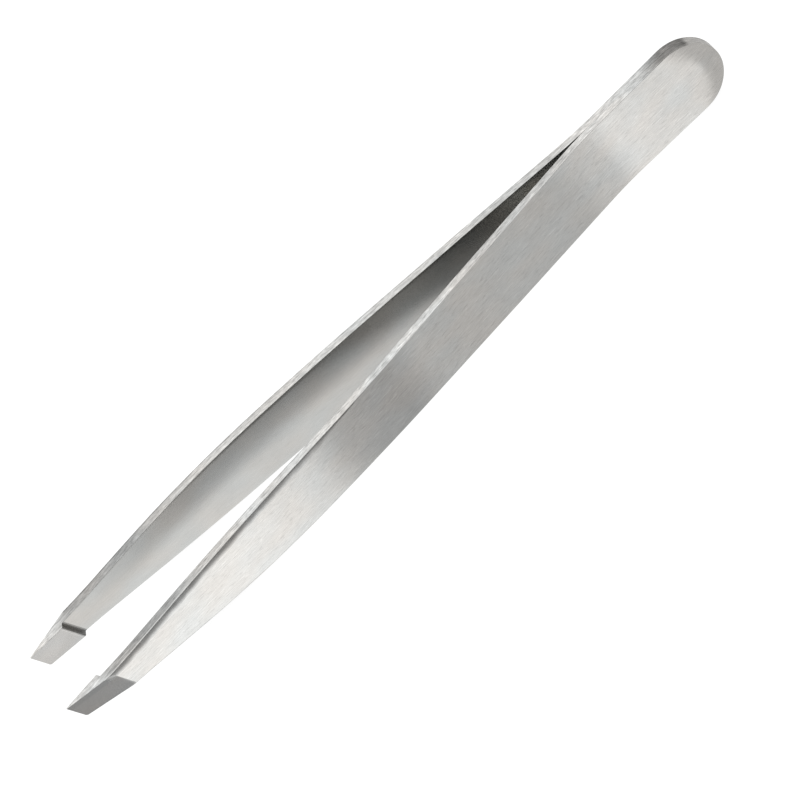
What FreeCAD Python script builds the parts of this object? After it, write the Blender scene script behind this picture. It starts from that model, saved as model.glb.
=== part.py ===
import FreeCAD, Part
import math
import os

# Slant tweezers: two springy steel arms, laid flat on each other and spot welded at the tail.
#
# Frame, in millimetres. The tweezers lie on the lower long edges of both arms, on z = 0.
# +X runs along the length towards the tail, so the jaws are at -X. Y is the way the arms
# open, with the left arm at -Y and the right arm at +Y. Z is the width of the blanks.
# A station is a distance from the tail end, and a rise is a distance from the plane y = 0,
# where the two arms meet.

# ---- driving dimensions ----
LENGTH = 95.0

# Edge profile of one arm: the bend ahead of the weld, and the bow that brings the jaws parallel.
HEEL_THICKNESS = 0.82
BEND_STATION = 16.0
BEND_RADIUS = 45.0
INNER_BEND_STATION = 16.6
BOW_STATION = 62.0
BOW_RADIUS = 380.0
BOW_OUTER_RISE = 5.70
BOW_INNER_RISE = 4.66
TIP_OUTER_RISE = 6.20
TIP_INNER_RISE = 4.96

# Flat outline of one blank, symmetric about a centre line: half widths at its corners.
TAIL_HALF_WIDTH = 4.64
TAIL_RADIUS = 4.56
GRIP_STATION, GRIP_HALF_WIDTH, GRIP_RADIUS = 32.0, 4.23, 600.0
SHOULDER_STATION, SHOULDER_HALF_WIDTH, SHOULDER_RADIUS = 70.1, 3.60, 204.0
NECK_STATION, NECK_HALF_WIDTH, NECK_RADIUS = 87.6, 1.68, 81.0
TIP_HALF_WIDTH = 1.325

# Jaws: the slanted end, the ground facet outside it, and the pad that grips inside it.
SLANT_ANGLE = 18.0
TIP_LAND = 0.12
FACET_LENGTH = 6.2
PAD_LENGTH = 4.7
PAD_TIP_RISE = 4.62
PAD_ANGLE = 3.2

# Long outer edges, eased by grinding.
EDGE_EASE = 0.15

# Flexure: each arm bends about a line just ahead of the weld.
FLEX_STATION = 24.0
KNUCKLE_RADIUS = 1.0
KNUCKLE_CLEARANCE = 0.02

# Spot welds: lens-shaped nuggets across the joint.
NUGGET_RADIUS = 1.7
NUGGET_DEPTH = 0.45
REAR_NUGGET_STATION = 5.0
FRONT_NUGGET_STATION = 11.0

# ---- what follows from them ----
OVERRUN = 2.0
FACES_OUTWARDS = 0.9
HALF_LENGTH = LENGTH / 2
OUTER_SLOPE = (BOW_OUTER_RISE - HEEL_THICKNESS) / (BOW_STATION - BEND_STATION)
INNER_SLOPE = BOW_INNER_RISE / (BOW_STATION - INNER_BEND_STATION)
TIP_OUTER_SLOPE = (TIP_OUTER_RISE - BOW_OUTER_RISE) / (LENGTH - BOW_STATION)
TIP_INNER_SLOPE = (TIP_INNER_RISE - BOW_INNER_RISE) / (LENGTH - BOW_STATION)

# The lower edge between the grip and the shoulder lies flat, so the centre line slopes down.
CENTRE_SLOPE = (GRIP_HALF_WIDTH - SHOULDER_HALF_WIDTH) / (SHOULDER_STATION - GRIP_STATION)
TAIL_CENTRE_HEIGHT = GRIP_HALF_WIDTH + CENTRE_SLOPE * GRIP_STATION

FLEX_OUTER_RISE = HEEL_THICKNESS + OUTER_SLOPE * (FLEX_STATION - BEND_STATION)
FLEX_INNER_RISE = INNER_SLOPE * (FLEX_STATION - INNER_BEND_STATION)
FLEX_RISE = (FLEX_OUTER_RISE + FLEX_INNER_RISE) / 2
SLANT = math.radians(SLANT_ANGLE)
VERTICAL = FreeCAD.Vector(0, 0, 1)
LEFT, RIGHT = -1, 1


def centre_height(station):
    """Height of the blank's centre line."""
    return TAIL_CENTRE_HEIGHT - CENTRE_SLOPE * station


def edge_view(station, rise, side):
    """A point of the edge profile, in the plane z = 0."""
    return FreeCAD.Vector(HALF_LENGTH - station, side * rise, 0)


def flat_view(station, height):
    """A point of the flat outline, in the plane y = 0."""
    return FreeCAD.Vector(HALF_LENGTH - station, 0, height)


def tangent_arc(corner, before, after, radius):
    """The arc that rounds a corner between its two neighbours."""
    to_before = (before - corner).normalize()
    to_after = (after - corner).normalize()
    half_angle = to_before.getAngle(to_after) / 2
    start = corner + to_before * (radius / math.tan(half_angle))
    end = corner + to_after * (radius / math.tan(half_angle))
    inward = (to_before + to_after).normalize()
    middle = corner + inward * (radius / math.sin(half_angle) - radius)
    return Part.Arc(start, middle, end), start, end


def rounded_face(corners):
    """A flat face from (point, radius) corners in order; radius 0 leaves the corner sharp."""
    edges = []
    ends = []
    for index, (corner, radius) in enumerate(corners):
        before = corners[index - 1][0]
        after = corners[(index + 1) % len(corners)][0]
        if radius:
            arc, start, end = tangent_arc(corner, before, after, radius)
            ends.append((start, end, arc))
        else:
            ends.append((corner, corner, None))
    for index, (start, end, arc) in enumerate(ends):
        if arc:
            edges.append(arc.toShape())
        following = ends[(index + 1) % len(ends)][0]
        edges.append(Part.LineSegment(end, following).toShape())
    return Part.Face(Part.Wire(edges))


def extruded(face, lowest, highest):
    """The face, drawn through the origin, extruded between two places on its normal axis."""
    solid = face.extrude(highest - lowest)
    solid.translate(lowest)
    return solid


def through_height(face):
    """A face of the edge view, extruded over the full height of the blanks."""
    top = 2 * TAIL_HALF_WIDTH + OVERRUN
    return extruded(face, VERTICAL * -OVERRUN, VERTICAL * top)


def through_opening(face):
    """A face of the flat view, extruded over the full opening of the arms."""
    reach = FreeCAD.Vector(0, TIP_OUTER_RISE + OVERRUN, 0)
    return extruded(face, reach * -1, reach)


def strip(side):
    """The arm's thickness, bend and bow, at full height and a little past the tip."""
    past = LENGTH + OVERRUN
    outer_past = TIP_OUTER_RISE + TIP_OUTER_SLOPE * OVERRUN
    inner_past = TIP_INNER_RISE + TIP_INNER_SLOPE * OVERRUN
    corners = [
        (edge_view(0, HEEL_THICKNESS, side), 0),
        (edge_view(BEND_STATION, HEEL_THICKNESS, side), BEND_RADIUS),
        (edge_view(BOW_STATION, BOW_OUTER_RISE, side), BOW_RADIUS),
        (edge_view(past, outer_past, side), 0),
        (edge_view(past, inner_past, side), 0),
        (edge_view(BOW_STATION, BOW_INNER_RISE, side), BOW_RADIUS),
        (edge_view(INNER_BEND_STATION, 0, side), BEND_RADIUS),
        (edge_view(0, 0, side), 0),
    ]
    return through_height(rounded_face(corners))


def slanted_station(offset, height):
    """Station of the tip's slanted end line at a height, moved back by an offset."""
    top_height = centre_height(LENGTH) + TIP_HALF_WIDTH
    return LENGTH - offset - (top_height - height) * math.tan(SLANT)


def outline():
    """The blank's flat outline: round tail, tapering grip, slim neck and slanted end."""
    half_widths = [
        (0, TAIL_HALF_WIDTH, TAIL_RADIUS),
        (GRIP_STATION, GRIP_HALF_WIDTH, GRIP_RADIUS),
        (SHOULDER_STATION, SHOULDER_HALF_WIDTH, SHOULDER_RADIUS),
        (NECK_STATION, NECK_HALF_WIDTH, NECK_RADIUS),
    ]
    upper = []
    lower = []
    for station, half_width, radius in half_widths:
        middle = centre_height(station)
        upper.append((flat_view(station, middle + half_width), radius))
        lower.append((flat_view(station, middle - half_width), radius))
    tip_top = centre_height(LENGTH) + TIP_HALF_WIDTH
    tip_bottom = centre_height(LENGTH) - TIP_HALF_WIDTH
    tip = [
        (flat_view(LENGTH, tip_top), 0),
        (flat_view(slanted_station(0, tip_bottom), tip_bottom), 0),
    ]
    return through_opening(rounded_face(upper + tip + lower[::-1]))


def pad(side):
    """The gripping pad inside the jaw, as long as the slanted band behind the tip."""
    rear = LENGTH - PAD_LENGTH - OVERRUN
    past = LENGTH + OVERRUN
    pad_slope = math.tan(math.radians(PAD_ANGLE))
    root_rise = TIP_INNER_RISE + EDGE_EASE
    section = [
        (edge_view(rear, PAD_TIP_RISE - pad_slope * (LENGTH - rear), side), 0),
        (edge_view(past, PAD_TIP_RISE + pad_slope * (past - LENGTH), side), 0),
        (edge_view(past, root_rise, side), 0),
        (edge_view(rear, root_rise, side), 0),
    ]
    top = 2 * TAIL_HALF_WIDTH
    band = [
        (flat_view(slanted_station(PAD_LENGTH, 0), 0), 0),
        (flat_view(slanted_station(-OVERRUN, 0), 0), 0),
        (flat_view(slanted_station(-OVERRUN, top), top), 0),
        (flat_view(slanted_station(PAD_LENGTH, top), top), 0),
    ]
    return through_height(rounded_face(section)).common(through_opening(rounded_face(band)))


def facet_waste(side):
    """What grinding takes off outside the jaw: everything beyond a plane through the tip edge."""
    tip_rise = PAD_TIP_RISE + TIP_LAND
    rear_rise = TIP_OUTER_RISE - TIP_OUTER_SLOPE * FACET_LENGTH
    slope = (rear_rise - tip_rise) / FACET_LENGTH
    rear = FACET_LENGTH + OVERRUN
    far_rise = TIP_OUTER_RISE + OVERRUN
    corners = [
        (rear, tip_rise + slope * rear),
        (-OVERRUN, tip_rise - slope * OVERRUN),
        (-OVERRUN, far_rise),
        (rear, far_rise),
    ]
    points = [edge_view(slanted_station(offset, 0), rise, side) for offset, rise in corners]
    top = 2 * TAIL_HALF_WIDTH
    along_the_slant = flat_view(slanted_station(0, top), top) - flat_view(slanted_station(0, 0), 0)
    return Part.Face(Part.makePolygon(points + points[:1])).extrude(along_the_slant)


def outer_rim(solid, side):
    """The edges around the outer face, other than the one across the tip."""
    outer_faces = []
    for face in solid.Faces:
        first_u, last_u, first_v, last_v = face.ParameterRange
        normal = face.normalAt((first_u + last_u) / 2, (first_v + last_v) / 2)
        if side * normal.y > FACES_OUTWARDS:
            outer_faces.append(face)
    edges = [edge for face in outer_faces for edge in face.Edges]
    rim = []
    for edge in edges:
        is_seam = sum(edge.isSame(other) for other in edges) > 1
        is_tip = edge.BoundBox.XMax < flat_view(LENGTH - OVERRUN, 0).x
        if not is_seam and not is_tip:
            rim.append(edge)
    return rim


def arm(side):
    """One whole arm, tail to tip."""
    blank = strip(side).common(outline())
    eased = blank.makeChamfer(EDGE_EASE, outer_rim(blank, side))
    jaw_pad = pad(side).common(outline())
    return eased.fuse(jaw_pad).cut(facet_waste(side)).removeSplitter()


def flex_block(side, radius):
    """Everything on the tail's side of the flexure line, less a round knuckle about it."""
    height = 2 * TAIL_HALF_WIDTH + 2 * OVERRUN
    reach = TIP_OUTER_RISE
    corner = FreeCAD.Vector(HALF_LENGTH - FLEX_STATION, -reach, -OVERRUN)
    block = Part.makeBox(FLEX_STATION + OVERRUN, 2 * reach, height, corner)
    foot = FreeCAD.Vector(HALF_LENGTH - FLEX_STATION, side * FLEX_RISE, -OVERRUN)
    return block.cut(Part.makeCylinder(radius, height, foot, VERTICAL))


def nugget(station):
    """One spot weld: the lens that two equal spheres share across the joint plane."""
    ball = (NUGGET_RADIUS ** 2 + NUGGET_DEPTH ** 2) / (2 * NUGGET_DEPTH)
    centre = flat_view(station, centre_height(station))
    lift = FreeCAD.Vector(0, ball - NUGGET_DEPTH, 0)
    return Part.makeSphere(ball, centre + lift).common(Part.makeSphere(ball, centre - lift))


def heel(side, welds):
    """The welded rear end of one arm, up to its flexure, with a pocket for each nugget."""
    piece = arm(side).common(flex_block(side, KNUCKLE_RADIUS + KNUCKLE_CLEARANCE))
    for weld in welds:
        piece = piece.cut(weld)
    return piece


def springing_arm(side):
    """The part of one arm that swings: from the flexure's knuckle to the jaw."""
    return arm(side).cut(flex_block(side, KNUCKLE_RADIUS))


def save(name, shape):
    """Write one piece, which must be a single sound solid."""
    solid = shape.Solids[0]
    assert len(shape.Solids) == 1 and solid.isValid() and solid.Volume > 0, name
    solid.exportStep("parts/" + name + ".step")
    print(name, round(solid.Volume, 3), solid.BoundBox)


os.makedirs("parts", exist_ok=True)
rear_weld = nugget(REAR_NUGGET_STATION)
front_weld = nugget(FRONT_NUGGET_STATION)
save("rear_weld_nugget", rear_weld)
save("front_weld_nugget", front_weld)
for side_name, side in (("left", LEFT), ("right", RIGHT)):
    save(side_name + "_heel", heel(side, [rear_weld, front_weld]))
    save(side_name + "_arm", springing_arm(side))
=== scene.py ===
import math

import bmesh
import bpy
from mathutils import Matrix, Vector


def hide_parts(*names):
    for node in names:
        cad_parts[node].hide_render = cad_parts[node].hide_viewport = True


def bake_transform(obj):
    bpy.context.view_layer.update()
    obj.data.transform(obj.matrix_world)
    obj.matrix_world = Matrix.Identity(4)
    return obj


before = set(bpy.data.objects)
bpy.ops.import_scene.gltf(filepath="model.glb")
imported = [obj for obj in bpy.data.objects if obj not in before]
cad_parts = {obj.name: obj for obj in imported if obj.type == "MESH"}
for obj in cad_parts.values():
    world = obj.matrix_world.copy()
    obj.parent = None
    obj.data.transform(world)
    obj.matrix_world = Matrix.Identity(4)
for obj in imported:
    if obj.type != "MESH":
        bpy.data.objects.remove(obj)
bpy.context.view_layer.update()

# Slant tweezers. The CAD gives the frame, and its driving sizes are repeated here. Each arm is one
# continuous ground and brushed steel blank, from its tail to its jaw, that bends between two CAD
# bodies. Lengths are millimetres unless MM has turned them into metres. A station is a distance
# from the tail end, and a rise is a distance from the plane where the two arms meet.
MM = 0.001
LENGTH = 95.0

# Edge profile of one arm: the bend ahead of the weld, and the bow towards the jaws.
HEEL_THICKNESS = 0.82
BEND_STATION, INNER_BEND_STATION, BEND_RADIUS = 16.0, 16.6, 45.0
BOW_STATION, BOW_RADIUS = 62.0, 380.0
BOW_OUTER_RISE, BOW_INNER_RISE = 5.70, 4.66
TIP_OUTER_RISE, TIP_INNER_RISE = 6.20, 4.96

# Flat outline of one blank: half widths at its corners. The tail's is 7 micrometres under the
# CAD's, which keeps the mesh inside the CAD box.
TAIL_HALF_WIDTH = 4.633
TAIL_RADIUS = 4.56
GRIP_STATION, GRIP_HALF_WIDTH, GRIP_RADIUS = 32.0, 4.23, 600.0
SHOULDER_STATION, SHOULDER_HALF_WIDTH, SHOULDER_RADIUS = 70.1, 3.60, 204.0
NECK_STATION, NECK_HALF_WIDTH, NECK_RADIUS = 87.6, 1.68, 81.0
TIP_HALF_WIDTH = 1.325

# The lower edge between the grip and the shoulder lies flat, so the centre line slopes down.
CENTRE_SLOPE = (GRIP_HALF_WIDTH - SHOULDER_HALF_WIDTH) / (SHOULDER_STATION - GRIP_STATION)
TAIL_CENTRE_HEIGHT = GRIP_HALF_WIDTH + CENTRE_SLOPE * GRIP_STATION

# Jaw: a slanted end with a narrow land, a ground facet outside, and inside a gripping pad with a
# short ramp up to it. The mesh's columns turn from upright to the end's slant between two stations.
SLANT = math.tan(math.radians(18.0))
TIP_TOP = TAIL_CENTRE_HEIGHT - CENTRE_SLOPE * LENGTH + TIP_HALF_WIDTH
PAD_TIP_RISE, TIP_LAND = 4.62, 0.12
FACET_LENGTH, FACET_REAR_RISE = 6.2, 6.106
PAD_LENGTH, PAD_RAMP = 4.70, 0.36
PAD_SLOPE = math.tan(math.radians(3.2))
TIP_CORNER_RADIUS = 0.22
SLANT_START, SLANT_FULL = 78.0, 86.0

# Edges: the ground bevel outside, and the broken edge inside. A bevel is the inset that it takes
# off the face and the drop that it takes off the strip. It grows towards the jaw between two
# stations, and wanders a little there, by waves of (share, radians per millimetre, shift by side).
# The strip between bevel and broken edge keeps a least thickness.
TAIL_BEVEL = (0.035, 0.04)
NECK_BEVELS = {"left": (0.54, 0.19), "right": (0.40, 0.08)}
LOWER_NECK_BEVEL = (0.12, 0.07)
INSET_GROWTH, DROP_GROWTH = (49.0, 61.0), (46.0, 68.0)
BEVEL_WAVES = ((0.04, 0.9, 1), (0.03, 2.3, 2))
FACE_ROUNDING, FACE_ROUNDING_SHARE = 0.22, 0.42
STRIP_ROUNDING_SHARE = 0.4
INNER_EASE = 0.04
LEAST_STRIP = 0.01

# Tail: the outer face is rounded over, and the welds sit in pockets between the arms.
ROUND_OVER_LENGTH, ROUND_OVER_DROP = 2.45, 0.18
WELD_STATIONS = (5.0, 11.0)
WELD_RADIUS, WELD_DEPTH = 1.7, 0.45
WELD_BALL = (WELD_RADIUS ** 2 + WELD_DEPTH ** 2) / (2 * WELD_DEPTH)
WELD_CLEARANCE = 0.05

# How finely the mesh is divided: across a face and a strip, round each corner, round the tail, and
# along the arm, with gaps for the bends, the blade, the jaw and the columns beside a crisp edge.
FACE_DIVISIONS, STRIP_DIVISIONS = 18, 4
FACE_CORNER_STEPS, STRIP_CORNER_STEPS, INNER_CORNER_STEPS = 5, 4, 3
TAIL_COLUMNS = 26
BLADE_START, BLADE_END = 20.0, 80.0
BEND_GAP, BLADE_GAP, JAW_GAP, CRISP_GAP = 0.4, 0.6, 0.3, 0.05
SLANT_PASSES = 12
MERGE_GAP = 0.0005
SHARP_ANGLE = math.radians(38.0)

SIDES = {"left": -1, "right": 1}

# An arm's finishes, in the order of its material slots. The bevel's runs on a little beside the
# facet, up to where the facet cuts the bevel away.
FINISHES = ("outer", "facet", "bevel", "strip", "inner", "pad", "step")
BEVEL_RUN_ON = 1.0

# Brushing is laid out in centimetres, with a sheet of its own for each face of each arm.
TEXTURE_SCALE = 0.1
SHEETS = {"outer": 0, "inner": 3, "edge": 6}
SHEETS_OF_A_SIDE = 10


def smooth_step(value, low, high):
    """0 below low, 1 above high, and smooth between."""
    share = min(1.0, max(0.0, (value - low) / (high - low)))
    return share * share * (3 - 2 * share)


def rounded_line(corners):
    """A function of station: straight runs through (station, value, radius) corners, joined by arcs."""
    arcs = []
    for before, corner, after in zip(corners, corners[1:], corners[2:]):
        angle_in = math.atan2(corner[1] - before[1], corner[0] - before[0])
        angle_out = math.atan2(after[1] - corner[1], after[0] - corner[0])
        radius = corner[2]
        bend = math.copysign(1.0, angle_out - angle_in)
        reach = radius * math.tan(abs(angle_out - angle_in) / 2)
        start = corner[0] - reach * math.cos(angle_in)
        end = corner[0] + reach * math.cos(angle_out)
        centre_x = start - bend * radius * math.sin(angle_in)
        centre_y = corner[1] - reach * math.sin(angle_in) + bend * radius * math.cos(angle_in)
        arcs.append((start, end, centre_x, centre_y, radius, bend))

    def value(station):
        for start, end, centre_x, centre_y, radius, bend in arcs:
            if start <= station <= end:
                return centre_y - bend * math.sqrt(radius ** 2 - (station - centre_x) ** 2)
        index = 0
        while index < len(corners) - 2 and station > corners[index + 1][0]:
            index += 1
        (x0, y0, _), (x1, y1, _) = corners[index], corners[index + 1]
        return y0 + (y1 - y0) * (station - x0) / (x1 - x0)

    return value


outer_line = rounded_line([
    (0.0, HEEL_THICKNESS, 0.0),
    (BEND_STATION, HEEL_THICKNESS, BEND_RADIUS),
    (BOW_STATION, BOW_OUTER_RISE, BOW_RADIUS),
    (LENGTH, TIP_OUTER_RISE, 0.0),
])
inner_line = rounded_line([
    (0.0, 0.0, 0.0),
    (INNER_BEND_STATION, 0.0, BEND_RADIUS),
    (BOW_STATION, BOW_INNER_RISE, BOW_RADIUS),
    (LENGTH, TIP_INNER_RISE, 0.0),
])
half_width_line = rounded_line([
    (0.0, TAIL_HALF_WIDTH, 0.0),
    (GRIP_STATION, GRIP_HALF_WIDTH, GRIP_RADIUS),
    (SHOULDER_STATION, SHOULDER_HALF_WIDTH, SHOULDER_RADIUS),
    (NECK_STATION, NECK_HALF_WIDTH, NECK_RADIUS),
    (LENGTH, TIP_HALF_WIDTH, 0.0),
])

# The half width where the round end of the tail begins.
ROUND_END_HALF_WIDTH = half_width_line(TAIL_RADIUS)


def centre_height(station):
    """Height of the blank's centre line."""
    return TAIL_CENTRE_HEIGHT - CENTRE_SLOPE * station


def slant_offset(station, height):
    """Distance of a point from the tip's slanted end, measured along the length."""
    return LENGTH - station - (TIP_TOP - height) * SLANT


def round_over(station, height):
    """How far the outer face is ground down towards the round end of the tail."""
    ahead = max(0.0, TAIL_RADIUS - station)
    away = math.hypot(ahead, height - centre_height(station))
    near_end = ahead / away if away else 0.0
    reach = max(0.0, 1 - (TAIL_RADIUS - away) / ROUND_OVER_LENGTH)
    return ROUND_OVER_DROP * (reach * near_end) ** 2


def outer_surface(station, height, drop=0.0):
    """Rise of the outer face, or of the bevel that lies drop below it, cut off by the facet."""
    face = outer_line(station) - round_over(station, height) - drop
    slope = (FACET_REAR_RISE - PAD_TIP_RISE - TIP_LAND) / FACET_LENGTH
    return min(face, PAD_TIP_RISE + TIP_LAND + slope * slant_offset(station, height))


def inner_surface(station, height):
    """Rise of the inner face, with the jaw's pad and the pockets of the welds."""
    rise = inner_line(station)
    for weld in WELD_STATIONS:
        away = math.hypot(station - weld, height - centre_height(weld))
        ball = WELD_BALL + WELD_CLEARANCE
        if away < ball:
            rise = max(rise, WELD_DEPTH - WELD_BALL + math.sqrt(ball ** 2 - away ** 2))
    pad = PAD_TIP_RISE - PAD_SLOPE * (LENGTH - station)
    on_pad = smooth_step(-slant_offset(station, height), -PAD_LENGTH - PAD_RAMP, -PAD_LENGTH)
    return rise + (pad - rise) * on_pad


def tail_edge(turn, side):
    """A point of the round tail's edge and the way in from it; turn is 0 at the very end."""
    station = TAIL_RADIUS * (1 - math.cos(turn))
    height = centre_height(station) + side * ROUND_END_HALF_WIDTH * math.sin(turn)
    inward = Vector((ROUND_END_HALF_WIDTH * math.cos(turn), -side * TAIL_RADIUS * math.sin(turn)))
    return Vector((station, height)), inward.normalized()


def long_edge(column, side):
    """A point of an arm's long edge. Near the jaw the columns lean, so that the station depends on
    the height and the height on the station, and a few passes settle both."""
    lean = smooth_step(column, SLANT_START, SLANT_FULL)
    into_corner = max(0.0, column - LENGTH + TIP_CORNER_RADIUS)
    cut = 0.0
    if side < 0:
        cut = TIP_CORNER_RADIUS - math.sqrt(TIP_CORNER_RADIUS ** 2 - into_corner ** 2)
    station = column
    for _ in range(SLANT_PASSES):
        height = centre_height(station) + side * (half_width_line(station) - cut)
        station = column - lean * (TIP_TOP - height) * SLANT
    return Vector((station, height))


def rounded_corner(start, corner, end, count):
    """Points of a short curve that rounds a corner, its ends included."""
    points = []
    for step in range(count + 1):
        t = step / count
        points.append(start * (1 - t) ** 2 + corner * (2 * t * (1 - t)) + end * t ** 2)
    return points


def bevel_profile(station, side, full):
    """(inset, drop) points across the outer bevel, from the face to the strip."""
    inset_share = smooth_step(station, *INSET_GROWTH)
    drop_share = smooth_step(station, *DROP_GROWTH)
    waves = sum(share * math.sin(rate * station + shift * side) for share, rate, shift in BEVEL_WAVES)
    wander = 1 + drop_share * waves
    inset = (TAIL_BEVEL[0] + (full[0] - TAIL_BEVEL[0]) * inset_share) * wander
    drop = (TAIL_BEVEL[1] + (full[1] - TAIL_BEVEL[1]) * drop_share) * wander
    face_corner = Vector((inset, 0))
    strip_corner = Vector((0, drop))
    chamfer = strip_corner - face_corner
    rounding = min(FACE_ROUNDING, FACE_ROUNDING_SHARE * chamfer.length)
    along = chamfer.normalized() * rounding
    face_end = face_corner + Vector((rounding, 0))
    first = rounded_corner(face_end, face_corner, face_corner + along, FACE_CORNER_STEPS)
    strip_end = strip_corner + Vector((0, STRIP_ROUNDING_SHARE * drop))
    chamfer_end = strip_corner - chamfer * STRIP_ROUNDING_SHARE
    last = rounded_corner(chamfer_end, strip_corner, strip_end, STRIP_CORNER_STEPS)
    return first + last


def section(upper, lower, column, turn, neck_bevel):
    """One ring of points round an arm, as (station, height, rise, zone, length along the edge). It
    goes down the outer face, round the lower edge, up the inner face and round the upper edge.
    Each edge is given as a point and the way in from it."""
    (upper_edge, upper_inward), (lower_edge, lower_inward) = upper, lower
    ring = []
    round_length = column if turn is None else TAIL_RADIUS * (1 - math.pi / 2 + turn)
    upper_bevel = bevel_profile(column, 1, neck_bevel)
    lower_bevel = bevel_profile(column, -1, LOWER_NECK_BEVEL)
    inner_ends = Vector((0, INNER_EASE)), Vector((0, 0)), Vector((INNER_EASE, 0))
    inner_round = rounded_corner(*inner_ends, INNER_CORNER_STEPS)

    def put(point, rise, zone):
        ring.append((point.x, point.y, rise, zone, round_length))

    def put_face(first, last, steps, surface, zone):
        for step in steps:
            point = first.lerp(last, step / FACE_DIVISIONS)
            put(point, surface(point.x, point.y), zone)

    def put_bevel(edge, inward, offsets):
        for offset in offsets:
            point = edge + inward * offset.x
            put(point, outer_surface(point.x, point.y, offset.y), "bevel")

    def put_strip(edge, drop, steps):
        top = outer_surface(edge.x, edge.y, drop)
        bottom = min(inner_surface(edge.x, edge.y) + INNER_EASE, top - LEAST_STRIP)
        for step in steps:
            put(edge, top + (bottom - top) * step / STRIP_DIVISIONS, "strip")

    def put_broken_edge(edge, inward, offsets):
        for offset in offsets:
            point = edge + inward * offset.x
            put(point, inner_surface(point.x, point.y) + offset.y, "ease")

    outer_top = upper_edge + upper_inward * upper_bevel[0].x
    outer_foot = lower_edge + lower_inward * lower_bevel[0].x
    put_face(outer_top, outer_foot, range(FACE_DIVISIONS + 1), outer_surface, "outer")
    put_bevel(lower_edge, lower_inward, lower_bevel[1:])
    put_strip(lower_edge, lower_bevel[-1].y, range(1, STRIP_DIVISIONS))
    put_broken_edge(lower_edge, lower_inward, inner_round)
    inner_foot = lower_edge + lower_inward * INNER_EASE
    inner_top = upper_edge + upper_inward * INNER_EASE
    put_face(inner_foot, inner_top, range(1, FACE_DIVISIONS), inner_surface, "inner")
    put_broken_edge(upper_edge, upper_inward, reversed(inner_round))
    put_strip(upper_edge, upper_bevel[-1].y, reversed(range(1, STRIP_DIVISIONS)))
    put_bevel(upper_edge, upper_inward, reversed(upper_bevel[1:]))
    return ring


def spaced(start, end, step):
    """Evenly spaced values from start up to, but not at, end."""
    count = max(1, round((end - start) / step))
    return [start + (end - start) * index / count for index in range(count)]


def arm_columns():
    """Every column of an arm: its station on the upper edge, and its turn round the tail."""
    turns = [math.radians(90) * index / TAIL_COLUMNS for index in range(TAIL_COLUMNS)]
    columns = [(TAIL_RADIUS * (1 - math.cos(turn)), turn) for turn in turns]
    facet = LENGTH - FACET_LENGTH
    ramp = LENGTH - PAD_LENGTH - PAD_RAMP
    stops = spaced(TAIL_RADIUS, BLADE_START, BEND_GAP)
    stops += spaced(BLADE_START, BLADE_END, BLADE_GAP)
    stops += spaced(BLADE_END, facet - CRISP_GAP, BEND_GAP)
    stops += [facet - CRISP_GAP, facet, facet + CRISP_GAP]
    stops += spaced(facet + JAW_GAP, ramp, JAW_GAP)
    stops += spaced(ramp, ramp + PAD_RAMP, CRISP_GAP)
    stops += spaced(ramp + PAD_RAMP, LENGTH - JAW_GAP, JAW_GAP)
    for angle in range(0, 91, 18):
        stops.append(LENGTH - TIP_CORNER_RADIUS * (1 - math.sin(math.radians(angle))))
    return columns + [(stop, None) for stop in stops]


def face_zone(first, second):
    """The zone of a face between points of two zones. The broken inner edge is part of the strip."""
    zones = {first, second}
    for zone in ("strip", "bevel", "inner", "outer"):
        if zone in zones:
            return zone
    return "strip"


def zone_finish(zone, from_end):
    """The finish that a zone wears at a distance from the tip's slanted end."""
    if zone == "outer":
        return "facet" if from_end < FACET_LENGTH else "outer"
    if zone == "bevel":
        return "facet" if from_end < FACET_LENGTH - BEVEL_RUN_ON else "bevel"
    if zone == "strip":
        return "strip"
    if from_end < PAD_LENGTH:
        return "pad"
    return "step" if from_end < PAD_LENGTH + PAD_RAMP else "inner"


def texture_place(point, zone, side):
    """Where a point of a zone lies on its sheet: along the brushing and across it."""
    station, height, rise, _, round_length = point
    if zone in ("outer", "inner"):
        along, across, sheet = station, height - centre_height(station), zone
    else:
        along, across, sheet = round_length, rise - inner_line(station), "edge"
    return along * TEXTURE_SCALE, across * TEXTURE_SCALE + (SHEETS_OF_A_SIDE * side + SHEETS[sheet])


def arm_rings(side_name):
    """The rings of points round an arm, from its tail to its tip."""
    rings = []
    for column, turn in arm_columns():
        if turn is None:
            upper, lower = long_edge(column, 1), long_edge(column, -1)
            down = (lower - upper).normalized()
            edges = (upper, down), (lower, -down)
        else:
            edges = tail_edge(turn, 1), tail_edge(turn, -1)
        rings.append(section(*edges, column, turn, NECK_BEVELS[side_name]))
    return rings


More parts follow.
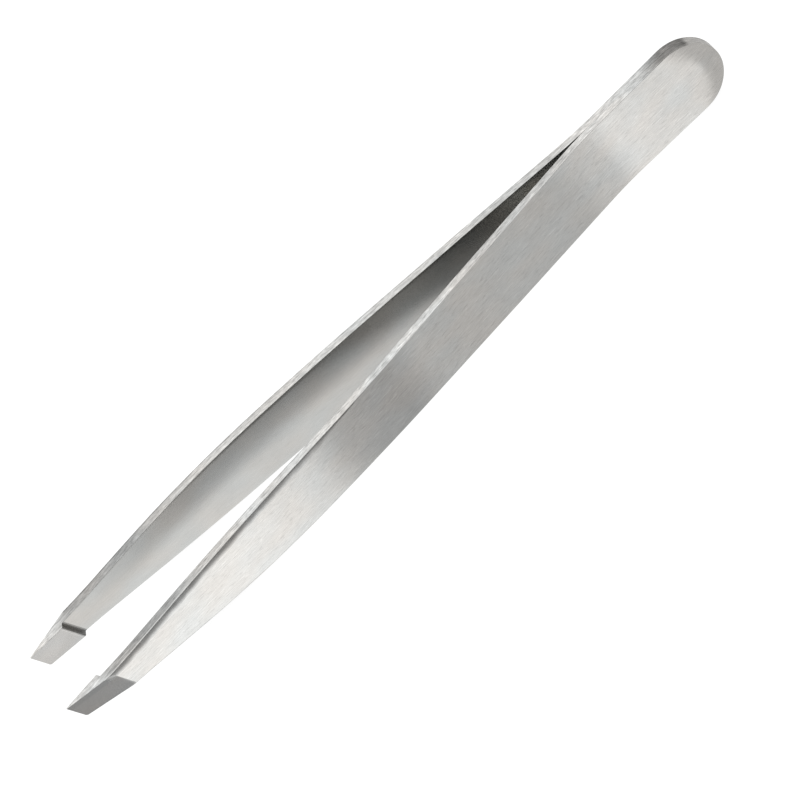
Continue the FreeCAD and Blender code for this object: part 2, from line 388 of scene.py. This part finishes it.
def arm_mesh(side_name, materials):
    """One whole arm as a closed mesh."""
    side = SIDES[side_name]
    rings = arm_rings(side_name)
    built = bmesh.new()
    texture = built.loops.layers.uv.new("brushing")
    vertices = []
    for ring in rings:
        row = []
        for station, height, rise, _, _ in ring:
            place = Vector((LENGTH / 2 - station, side * rise, height)) * MM
            row.append(built.verts.new(place))
        vertices.append(row)

    count = len(rings[0])
    for index in range(len(rings) - 1):
        for place in range(count):
            following = (place + 1) % count
            corners = [(index, place), (index, following), (index + 1, following), (index + 1, place)]
            zone = face_zone(rings[index][place][3], rings[index][following][3])
            face = built.faces.new([vertices[i][j] for i, j in corners])
            face.smooth = True
            middle = [sum(rings[i][j][axis] for i, j in corners) / 4 for axis in (0, 1)]
            face.material_index = FINISHES.index(zone_finish(zone, slant_offset(*middle)))
            for loop, (i, j) in zip(face.loops, corners):
                loop[texture].uv = texture_place(rings[i][j], zone, side)
    end = built.faces.new(list(reversed(vertices[-1])))
    end.material_index = FINISHES.index("strip")
    for loop, point in zip(end.loops, reversed(rings[-1])):
        loop[texture].uv = texture_place(point, "strip", side)
    bmesh.ops.remove_doubles(built, verts=built.verts, dist=MERGE_GAP * MM)
    bmesh.ops.recalc_face_normals(built, faces=built.faces)
    mesh = bpy.data.meshes.new(side_name + "_blank")
    built.to_mesh(mesh)
    built.free()
    mesh.set_sharp_from_angle(angle=SHARP_ANGLE)
    for material in materials:
        mesh.materials.append(material)
    piece = bpy.data.objects.new(side_name + "_blank", mesh)
    bpy.context.scene.collection.objects.link(piece)
    weighted = piece.modifiers.new("even shading", "WEIGHTED_NORMAL")
    weighted.mode = "FACE_AREA"
    weighted.weight = 50
    weighted.keep_sharp = True
    return piece


# ---- materials ----
# How far the steel's colour drifts to the warm and to the cool side.
WARM_SHIFT = (1.022, 1.0, 0.975)
COOL_SHIFT = (0.988, 1.004, 1.006)
MICROMETRE = 1e-6


def node(tree, kind, inputs=None, **settings):
    """Adds a node; an input is either a value or the socket that feeds it."""
    made = tree.nodes.new(kind)
    for name, value in settings.items():
        setattr(made, name, value)
    for name, value in (inputs or {}).items():
        if isinstance(value, bpy.types.NodeSocket):
            tree.links.new(value, made.inputs[name])
        else:
            made.inputs[name].default_value = value
    return made


def maths(tree, operation, first, second):
    """One arithmetic step on two numbers or sockets."""
    return node(tree, "ShaderNodeMath", {0: first, 1: second}, operation=operation).outputs[0]


def remap(tree, value, low, high, to_low, to_high, kind="SMOOTHSTEP"):
    """Carries a value from one range to another, and holds it at the ends."""
    inputs = {"Value": value, "From Min": low, "From Max": high, "To Min": to_low, "To Max": to_high}
    return node(tree, "ShaderNodeMapRange", inputs, interpolation_type=kind).outputs[0]


def ramp(tree, value, stops):
    """A grey level that follows (position, level) stops, the first at 0 and the last at 1."""
    made = node(tree, "ShaderNodeValToRGB", {0: value})
    elements = made.color_ramp.elements
    for position, _ in stops[1:-1]:
        elements.new(position)
    for element, (_, level) in zip(elements, stops):
        element.color = (level, level, level, 1)
    return made.outputs[0]


def tint(tree, value, first, second):
    """A colour that passes from one (position, colour) stop to another."""
    made = node(tree, "ShaderNodeValToRGB", {0: value})
    for element, (position, colour) in zip(made.color_ramp.elements, (first, second)):
        element.position = position
        element.color = (*colour, 1)
    return made.outputs[0]


def new_material(name):
    """A material with its node tree and its shader."""
    material = bpy.data.materials.new(name)
    material.use_nodes = True
    return material, material.node_tree, material.node_tree.nodes["Principled BSDF"]


def brushing_place(tree):
    """Where a point lies on the sheets of the brushing, in centimetres."""
    return node(tree, "ShaderNodeUVMap", uv_map="brushing").outputs["UV"]


def grain(tree, along, across, detail, seed):
    """Noise stretched over the length and the way across; both are features per centimetre."""
    location = (seed, seed * 0.7, 0)
    inputs = {"Vector": brushing_place(tree), "Location": location, "Scale": (along, across, 1)}
    stretched = node(tree, "ShaderNodeMapping", inputs).outputs[0]
    inputs = {"Vector": stretched, "Scale": 1.0, "Detail": detail, "Roughness": 0.6}
    return node(tree, "ShaderNodeTexNoise", inputs).outputs[0]


def steel(name, colour, roughness, streaks, mottle, scratches, anisotropy=0.0, crosswise=False,
          blotch=0.04, dashes=0.0, painted_bands=()):
    """Ground stainless steel. Streaks, mottle, blotch and dashes are shares by which the tone varies,
    and scratches is the height of the grinding marks in micrometres. Each painted band is painted
    light or shade: it makes a stretch of the length lighter or darker, and says where the stretch
    begins, is full, starts to fade and ends, and by what the tone is multiplied there."""
    material, tree, shader = new_material(name)
    length = node(tree, "ShaderNodeSeparateXYZ", {0: brushing_place(tree)}).outputs[0]
    long, fine = (110.0, 5.0) if crosswise else (5.0, 70.0)
    streak = grain(tree, long, fine, 3.0, 1.3)
    hair = grain(tree, long * 2, fine * 3, 2.0, 4.1)
    speck = grain(tree, 12.0, 34.0, 3.0, 7.7)
    cloud = grain(tree, 2.2, 4.0, 2.0, 2.9)
    tone = remap(tree, streak, 0.3, 0.7, 1 - streaks, 1 + streaks, "LINEAR")
    specks = remap(tree, speck, 0.3, 0.7, 1 - mottle, 1 + mottle, "LINEAR")
    clouds = remap(tree, cloud, 0.35, 0.65, 1 - blotch, 1 + blotch)
    tone = maths(tree, "MULTIPLY", maths(tree, "MULTIPLY", tone, specks), clouds)
    if dashes:
        light = remap(tree, grain(tree, 7.0, 62.0, 1.0, 5.9), 0.60, 0.70, 1.0, 1 + dashes)
        dull = remap(tree, grain(tree, 9.0, 48.0, 1.0, 8.3), 0.58, 0.68, 1.0, 1 - dashes)
        tone = maths(tree, "MULTIPLY", maths(tree, "MULTIPLY", tone, light), dull)
    # Painted light and shade: each band makes a stretch of the length lighter or darker.
    for begin, start, end, finish, share in painted_bands:
        rises = remap(tree, length, begin * TEXTURE_SCALE, start * TEXTURE_SCALE, 0.0, 1.0)
        falls = remap(tree, length, end * TEXTURE_SCALE, finish * TEXTURE_SCALE, 1.0, 0.0)
        within = maths(tree, "MULTIPLY", rises, falls)
        tone = maths(tree, "MULTIPLY", tone, remap(tree, within, 0.0, 1.0, 1.0, share, "LINEAR"))
    warmth = remap(tree, length, 0.25, 0.60, 0.3, 0.0)
    drift = maths(tree, "ADD", grain(tree, 1.4, 2.6, 1.0, 9.3), warmth)
    warm = [part * shift for part, shift in zip(colour, WARM_SHIFT)]
    cool = [part * shift for part, shift in zip(colour, COOL_SHIFT)]
    inputs = {0: tint(tree, drift, (0.35, cool), (0.65, warm)), "Scale": tone}
    shade = node(tree, "ShaderNodeVectorMath", inputs, operation="SCALE").outputs[0]
    tree.links.new(shade, shader.inputs["Base Color"])
    shader.inputs["Metallic"].default_value = 1.0
    rough = remap(tree, hair, 0.3, 0.7, roughness * 0.88, roughness * 1.12, "LINEAR")
    tree.links.new(rough, shader.inputs["Roughness"])
    shader.inputs["Anisotropic"].default_value = anisotropy
    shader.inputs["Anisotropic Rotation"].default_value = 0.0 if crosswise else 0.25
    along = node(tree, "ShaderNodeTangent", direction_type="UV_MAP", uv_map="brushing")
    tree.links.new(along.outputs[0], shader.inputs["Tangent"])
    marks = maths(tree, "ADD", streak, hair)
    inputs = {"Height": marks, "Strength": 1.0, "Distance": scratches * MICROMETRE}
    bump = node(tree, "ShaderNodeBump", inputs)
    tree.links.new(bump.outputs[0], shader.inputs["Normal"])
    return material


# The photograph shows only the left arm's outer face, and only that face gets painted bands: a painted
# highlight at the bend, and painted shade in the middle.
OUTER_PAINTED_BANDS = {
    "left": ((13.6, 15.4, 17.4, 22.0, 1.23), (42.5, 48.0, 54.0, 60.0, 0.73)),
    "right": (),
}
outer_finishes = {
    side_name: steel(
        side_name + "_outer_brushed_steel", (0.645, 0.640, 0.627), roughness=0.22, streaks=0.07,
        mottle=0.03, scratches=0.35, anisotropy=0.9, blotch=0.02, dashes=0.10, painted_bands=painted_bands,
    )
    for side_name, painted_bands in OUTER_PAINTED_BANDS.items()
}
facet_finish = steel(
    "facet_ground_steel", (0.60, 0.597, 0.59), roughness=0.22, streaks=0.025, mottle=0.0,
    scratches=0.3, anisotropy=0.6, crosswise=True, blotch=0.01,
)
# The bevel's bands are painted shade: darker at the round tail and in the middle of the blade.
bevel_finish = steel(
    "bevel_ground_steel", (0.58, 0.575, 0.565), roughness=0.26, streaks=0.12, mottle=0.08,
    scratches=0.5, anisotropy=0.5,
    painted_bands=((1.2, 1.9, 4.4, 8.0, 0.45), (45.0, 50.0, 56.0, 62.0, 0.7)),
)
# The strip's bands are painted shade: darker at the round tail, from 16 to 38 mm, and towards the neck.
strip_finish = steel(
    "strip_ground_steel", (0.60, 0.597, 0.588), roughness=0.28, streaks=0.23, mottle=0.22,
    scratches=0.8, anisotropy=0.5, blotch=0.08, dashes=0.22,
    painted_bands=(
        (1.2, 1.9, 4.4, 8.6, 0.34), (69.0, 81.0, 88.0, 91.0, 0.59), (16.0, 20.0, 34.0, 38.0, 0.88),
    ),
)
# The inner steel is coloured darker than the outer as painted shade between the arms, and its band is a
# painted highlight from 13 to 34 mm.
inner_finish = steel(
    "inner_brushed_steel", (0.462, 0.460, 0.450), roughness=0.20, streaks=0.03, mottle=0.015,
    scratches=0.3, anisotropy=0.6, blotch=0.02, dashes=0.03,
    painted_bands=((13.0, 14.5, 22.0, 34.0, 1.55),),
)
pad_finish = steel(
    "pad_ground_steel", (0.58, 0.577, 0.57), roughness=0.27, streaks=0.02, mottle=0.01,
    scratches=0.10, anisotropy=0.5, crosswise=True,
)
# The ramp up to the pad is coloured far darker than the steel round it: painted shade in the step.
step_shade_finish = steel(
    "step_painted_shade_steel", (0.22, 0.217, 0.21), roughness=0.35, streaks=0.10, mottle=0.10,
    scratches=0.8,
)
other_finishes = [facet_finish, bevel_finish, strip_finish, inner_finish, pad_finish, step_shade_finish]


# ---- pieces ----
for side_name in SIDES:
    piece = arm_mesh(side_name, [outer_finishes[side_name]] + other_finishes)
    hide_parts(side_name + "_heel", side_name + "_arm")
    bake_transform(piece)


def weld_material():
    """The welds' dull, slightly heat-tinted steel, mottled in three dimensions."""
    material, tree, shader = new_material("weld_nugget_steel")
    place = node(tree, "ShaderNodeTexCoord").outputs["Object"]
    inputs = {"Vector": place, "Scale": 2500.0, "Detail": 3.0}
    mottle = node(tree, "ShaderNodeTexNoise", inputs).outputs[0]
    heat_tint = tint(tree, mottle, (0.3, (0.36, 0.33, 0.29)), (0.7, (0.50, 0.49, 0.47)))
    tree.links.new(heat_tint, shader.inputs["Base Color"])
    shader.inputs["Metallic"].default_value = 1.0
    tree.links.new(remap(tree, mottle, 0.3, 0.7, 0.35, 0.55), shader.inputs["Roughness"])
    bump = node(tree, "ShaderNodeBump", {"Height": mottle, "Strength": 0.6, "Distance": 10 * MICROMETRE})
    tree.links.new(bump.outputs[0], shader.inputs["Normal"])
    return material


# The welds keep the CAD's own shapes.
weld_finish = weld_material()
for nugget_name in ("rear_weld_nugget", "front_weld_nugget"):
    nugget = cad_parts[nugget_name]
    nugget.data.materials.clear()
    nugget.data.materials.append(weld_finish)


# ---- floor ----
# The floor and the shade card lie just under the tweezers, so that no faces coincide.
FLOOR_HALF_WIDTH, FLOOR_DEPTH = 2.0, 0.03 * MM
CARD_DEPTH = 0.1 * MM


def floor_material():
    """A pale, evenly lit table top with a faint tooth."""
    material, tree, shader = new_material("pale_table")
    place = node(tree, "ShaderNodeTexCoord").outputs["Object"]
    tooth = node(tree, "ShaderNodeTexNoise", {"Vector": place, "Scale": 400.0}).outputs[0]
    grey = tint(tree, tooth, (0.0, (0.12, 0.12, 0.12)), (1.0, (0.16, 0.16, 0.16)))
    tree.links.new(grey, shader.inputs["Base Color"])
    shader.inputs["Roughness"].default_value = 0.9
    shader.inputs["Emission Color"].default_value = (1, 1, 1, 1)
    shader.inputs["Emission Strength"].default_value = 0.92
    return material


def lay_floor():
    """The table top. Reflections leave it out: there, the surroundings stand for it."""
    half = FLOOR_HALF_WIDTH
    corners = [(-half, -half, 0), (half, -half, 0), (half, half, 0), (-half, half, 0)]
    mesh = bpy.data.meshes.new("floor")
    mesh.from_pydata(corners, [], [(0, 1, 2, 3)])
    mesh.materials.append(floor_material())
    floor = bpy.data.objects.new("floor", mesh)
    floor.location = (0, 0, -FLOOR_DEPTH)
    floor.visible_glossy = False
    floor.visible_shadow = False
    bpy.context.scene.collection.objects.link(floor)


# The shade card lies under the gap, from under the left arm to its reach towards the right arm. It
# has a shade that grows towards the left arm along a skewed line, and one near the junction, and
# both fade towards the jaws. Each fade is a pair of X places.
CARD_STATIONS = range(18, 90)
CARD_MARGIN, CARD_REACH, CARD_SKEW = 0.2, 2.9, 0.075
LEFT_SHADE_START, LEFT_SHADE, JUNCTION_SHADE = 0.1, 0.52, 0.34
JUNCTION_FADE, JAW_FADE = (2.0, 10.0), (-24.0, -45.0)


def shade_material():
    """Black where the shade is, and clear elsewhere."""
    material = bpy.data.materials.new("soft_shade")
    material.use_nodes = True
    tree = material.node_tree
    tree.nodes.clear()
    place = node(tree, "ShaderNodeTexCoord").outputs["Object"]
    x, y, _ = node(tree, "ShaderNodeSeparateXYZ", {0: place}).outputs
    skewed = maths(tree, "ADD", y, maths(tree, "MULTIPLY", x, CARD_SKEW))
    left = remap(tree, skewed, -LEFT_SHADE_START * MM, -CARD_REACH * MM, 0.0, LEFT_SHADE)
    junction = remap(tree, x, JUNCTION_FADE[0] * MM, JUNCTION_FADE[1] * MM, 0.0, JUNCTION_SHADE)
    shade = maths(tree, "MAXIMUM", left, junction)
    fading = remap(tree, x, JAW_FADE[0] * MM, JAW_FADE[1] * MM, 1.0, 0.0)
    clear = node(tree, "ShaderNodeBsdfTransparent")
    dark = node(tree, "ShaderNodeBsdfDiffuse", {"Color": (0, 0, 0, 1)})
    inputs = {0: maths(tree, "MULTIPLY", shade, fading), 1: clear.outputs[0], 2: dark.outputs[0]}
    mixed = node(tree, "ShaderNodeMixShader", inputs)
    output = node(tree, "ShaderNodeOutputMaterial")
    tree.links.new(mixed.outputs[0], output.inputs[0])
    return material


def shade_between_arms():
    """The table between the arms is shaded; only reflections in the steel see this."""
    corners, faces = [], []
    for station in CARD_STATIONS:
        x = (LENGTH / 2 - station) * MM
        edge = inner_line(station)
        corners += [(x, -(edge + CARD_MARGIN) * MM, 0), (x, min(edge, CARD_REACH) * MM, 0)]
    for index in range(0, len(corners) - 2, 2):
        faces.append((index, index + 1, index + 3, index + 2))
    mesh = bpy.data.meshes.new("shade_between_arms")
    mesh.from_pydata(corners, [], faces)
    mesh.materials.append(shade_material())
    card = bpy.data.objects.new("shade_between_arms", mesh)
    card.location = (0, 0, -CARD_DEPTH)
    card.visible_camera = False
    card.visible_diffuse = False
    bpy.context.scene.collection.objects.link(card)


lay_floor()
shade_between_arms()


# ---- light ----
# How light the surroundings are, as (position, level) stops. By height, position 0 is straight
# below and 1 straight above; low in front, it runs across, from the jaws' side to the tail's.
LEVELS_BY_HEIGHT = (
    (0.0, 0.42), (0.07, 0.38), (0.2, 0.38), (0.3, 0.38), (0.5, 0.30), (0.62, 0.28), (0.74, 0.5),
    (0.82, 0.6), (1.0, 0.6),
)
LEVELS_LOW_IN_FRONT = (
    (0.0, 0.17), (0.115, 0.17), (0.2, 0.27), (0.28, 0.51), (0.33, 0.63), (0.365, 0.70), (0.40, 0.70),
    (0.47, 0.72), (0.488, 0.645), (0.512, 0.60), (0.54, 0.37), (0.57, 0.31), (0.63, 0.31), (1.0, 0.29),
)
# Each pair says where a part of the surroundings begins and where it is complete: the first four
# are parts of a direction, and the dark place's is how closely a direction faces it.
LOW, FRONT = (-0.35, -0.55), (-0.10, -0.35)
NOT_HIGH, BEHIND = (0.40, 0.20), (0.10, 0.30)
DARK_PLACE, DARK_EDGE, DARK_SHARE = Vector((0.0, -0.97, 0.22)), (0.89, 0.965), 0.33
RIPPLE_RATE, RIPPLE_SHIFT, RIPPLE_SHARE = 9.0, 0.4, 0.30
SURROUNDINGS_STRENGTH = 2.0
BACKDROP_STRENGTH = 1.02


def studio_light():
    """Soft surroundings as a smooth function of direction: pale above and below, grey level with
    the table, a darker place in front, where nothing is lit, and a gentle ripple low behind."""
    world = bpy.data.worlds.new("soft_studio")
    bpy.context.scene.world = world
    world.use_nodes = True
    tree = world.node_tree
    tree.nodes.clear()
    direction = node(tree, "ShaderNodeTexCoord").outputs["Generated"]
    x, y, z = node(tree, "ShaderNodeSeparateXYZ", {0: direction}).outputs
    level = ramp(tree, remap(tree, z, -1.0, 1.0, 0.0, 1.0, "LINEAR"), LEVELS_BY_HEIGHT)
    pattern = ramp(tree, remap(tree, x, -0.5, 0.5, 0.0, 1.0, "LINEAR"), LEVELS_LOW_IN_FRONT)
    low = remap(tree, z, *LOW, 0.0, 1.0)
    front = remap(tree, y, *FRONT, 0.0, 1.0)
    share = maths(tree, "MULTIPLY", low, front)
    kept = maths(tree, "MULTIPLY", level, maths(tree, "SUBTRACT", 1.0, share))
    level = maths(tree, "ADD", kept, maths(tree, "MULTIPLY", pattern, share))

    not_high = remap(tree, z, *NOT_HIGH, 0.0, 1.0)
    behind = maths(tree, "MULTIPLY", remap(tree, y, *BEHIND, 0.0, 1.0), not_high)
    turn = maths(tree, "ADD", maths(tree, "MULTIPLY", x, RIPPLE_RATE), RIPPLE_SHIFT)
    wave = node(tree, "ShaderNodeMath", {0: turn}, operation="SINE").outputs[0]
    ripple = maths(tree, "MULTIPLY", maths(tree, "MULTIPLY", wave, behind), RIPPLE_SHARE)
    level = maths(tree, "MULTIPLY", level, maths(tree, "ADD", ripple, 1.0))

    inputs = {0: direction, 1: DARK_PLACE.normalized()}
    facing = node(tree, "ShaderNodeVectorMath", inputs, operation="DOT_PRODUCT").outputs["Value"]
    dim = remap(tree, facing, *DARK_EDGE, 1.0, DARK_SHARE)
    level = maths(tree, "MULTIPLY", maths(tree, "MULTIPLY", level, dim), SURROUNDINGS_STRENGTH)

    seen = node(tree, "ShaderNodeLightPath").outputs["Is Camera Ray"]
    lit = maths(tree, "MULTIPLY", level, maths(tree, "SUBTRACT", 1.0, seen))
    level = maths(tree, "ADD", lit, maths(tree, "MULTIPLY", seen, BACKDROP_STRENGTH))
    background = node(tree, "ShaderNodeBackground", {"Color": (1, 1, 1, 1), "Strength": level})
    output = node(tree, "ShaderNodeOutputWorld")
    tree.links.new(background.outputs[0], output.inputs[0])


SOFTBOX_WIDTH, SOFTBOX_WATTS, SOFTBOX_PLACE = 1.2, 3.0, (0.0, 0.1, 1.1)


def overhead_softbox():
    """A wide lamp overhead that lights the table and isn't mirrored in the steel."""
    lamp = bpy.data.lights.new("overhead_softbox", "AREA")
    lamp.shape = "RECTANGLE"
    lamp.size, lamp.size_y = SOFTBOX_WIDTH, SOFTBOX_WIDTH
    lamp.energy = SOFTBOX_WATTS
    softbox = bpy.data.objects.new("overhead_softbox", lamp)
    softbox.location = SOFTBOX_PLACE
    softbox.visible_glossy = False
    softbox.visible_camera = False
    bpy.context.scene.collection.objects.link(softbox)


studio_light()
overhead_softbox()


# ---- camera ----
# The angles, the distance, the width that the picture spans at that distance, and the aim beside
# the middle of the tweezers, all fitted to the photograph.
CAMERA_DISTANCE = 600.0 * MM
CAMERA_ELEVATION = math.radians(43.0)
CAMERA_AZIMUTH = math.radians(3.822)
CAMERA_ROLL = math.radians(44.221)
SENSOR_WIDTH = 36.0
PICTURE_WIDTH = 82.5227 * MM
AIM_RIGHT, AIM_UP = 1.749 * MM, -3.043 * MM


def place_camera():
    """Looks down at the tweezers from in front, rolled so that the tail points up to the right."""
    tilt = Matrix.Rotation(-math.atan(CENTRE_SLOPE), 3, "Y")
    forward = Vector((
        -math.sin(CAMERA_AZIMUTH),
        math.cos(CAMERA_AZIMUTH) * math.cos(CAMERA_ELEVATION),
        -math.cos(CAMERA_AZIMUTH) * math.sin(CAMERA_ELEVATION),
    ))
    level = (Vector((1, 0, 0)) - forward * forward.x).normalized()
    forward, level = tilt @ forward, tilt @ level
    upward = level.cross(forward)
    right = level * math.cos(CAMERA_ROLL) - upward * math.sin(CAMERA_ROLL)
    up = level * math.sin(CAMERA_ROLL) + upward * math.cos(CAMERA_ROLL)
    middle = Vector((0, 0, centre_height(LENGTH / 2) * MM))
    place = middle - forward * CAMERA_DISTANCE
    aim = (forward * CAMERA_DISTANCE + right * AIM_RIGHT + up * AIM_UP).normalized()
    right = (right - aim * right.dot(aim)).normalized()
    up = right.cross(aim)
    camera_data = bpy.data.cameras.new("camera")
    camera_data.sensor_width = SENSOR_WIDTH
    camera_data.lens = SENSOR_WIDTH * CAMERA_DISTANCE / PICTURE_WIDTH
    camera_data.clip_start, camera_data.clip_end = 0.01, 20.0
    camera = bpy.data.objects.new("camera", camera_data)
    turned = Matrix((right, up, -aim)).transposed().to_4x4()
    camera.matrix_world = Matrix.Translation(place) @ turned
    bpy.context.scene.collection.objects.link(camera)
    bpy.context.scene.camera = camera


place_camera()
bpy.context.scene.view_settings.view_transform = "Standard"
